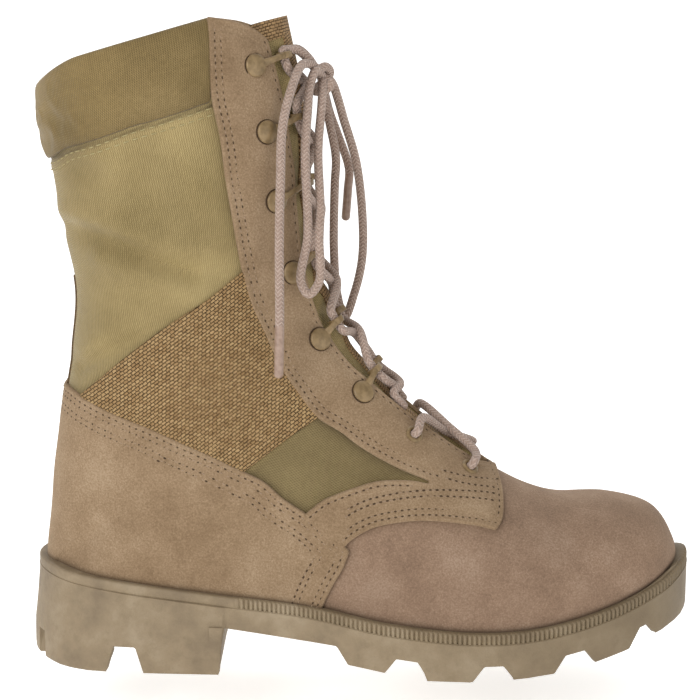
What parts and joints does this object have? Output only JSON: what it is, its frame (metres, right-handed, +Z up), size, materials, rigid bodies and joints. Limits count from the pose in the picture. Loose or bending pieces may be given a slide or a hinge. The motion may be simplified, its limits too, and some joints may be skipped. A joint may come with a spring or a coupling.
{
  "type": "combat boot",
  "caption": "Lace-up combat boot with a tall padded shaft, suede facings, woven ankle strap, ring lace fittings and a thick lugged sole.",
  "frame": {"origin": "centre of the boot's footprint box, on the floor", "axes": "+Z up, +X towards the toe, -Y towards the outer side of the foot"},
  "size_m": [0.3062, 0.108, 0.2945],
  "materials": {
    "sole_rubber": "matt moulded",
    "insole_board": "matt",
    "upper_leather": "suede",
    "suede": "suede",
    "shaft_nylon": "woven, slight sheen",
    "webbing": "coarse weave",
    "fittings": "satin paint",
    "lace_cord": "braided"
  },
  "bodies": {
    "root": {"outsole": "sole_rubber", "insole": "insole_board", "upper": "upper_leather", "tongue": "shaft_nylon", "heel_counter": "suede", "collar_roll": "shaft_nylon", "eyestay_outer": "suede", "eyestay_inner": "suede", "ankle_strap_outer": "webbing", "ankle_strap_inner": "webbing", "speed_loop_outer_1": "fittings", "speed_loop_outer_2": "fittings", "speed_loop_outer_3": "fittings", "speed_loop_outer_4": "fittings", "speed_loop_outer_5": "fittings", "speed_loop_outer_6": "fittings", "eyelet_outer_1": "fittings", "eyelet_outer_2": "fittings", "speed_loop_inner_1": "fittings", "speed_loop_inner_2": "fittings", "speed_loop_inner_3": "fittings", "speed_loop_inner_4": "fittings", "speed_loop_inner_5": "fittings", "speed_loop_inner_6": "fittings", "eyelet_inner_1": "fittings", "eyelet_inner_2": "fittings", "lace_crossing_1": "lace_cord", "lace_crossing_2": "lace_cord", "lace_crossing_3": "lace_cord", "lace_crossing_4": "lace_cord", "lace_crossing_5": "lace_cord", "lace_crossing_6": "lace_cord", "lace_crossing_7": "lace_cord", "lace_knot": "lace_cord", "lace_loop_outer": "lace_cord", "lace_loop_inner": "lace_cord", "lace_end_outer": "lace_cord", "lace_end_inner": "lace_cord"}
  },
  "joints": []
}
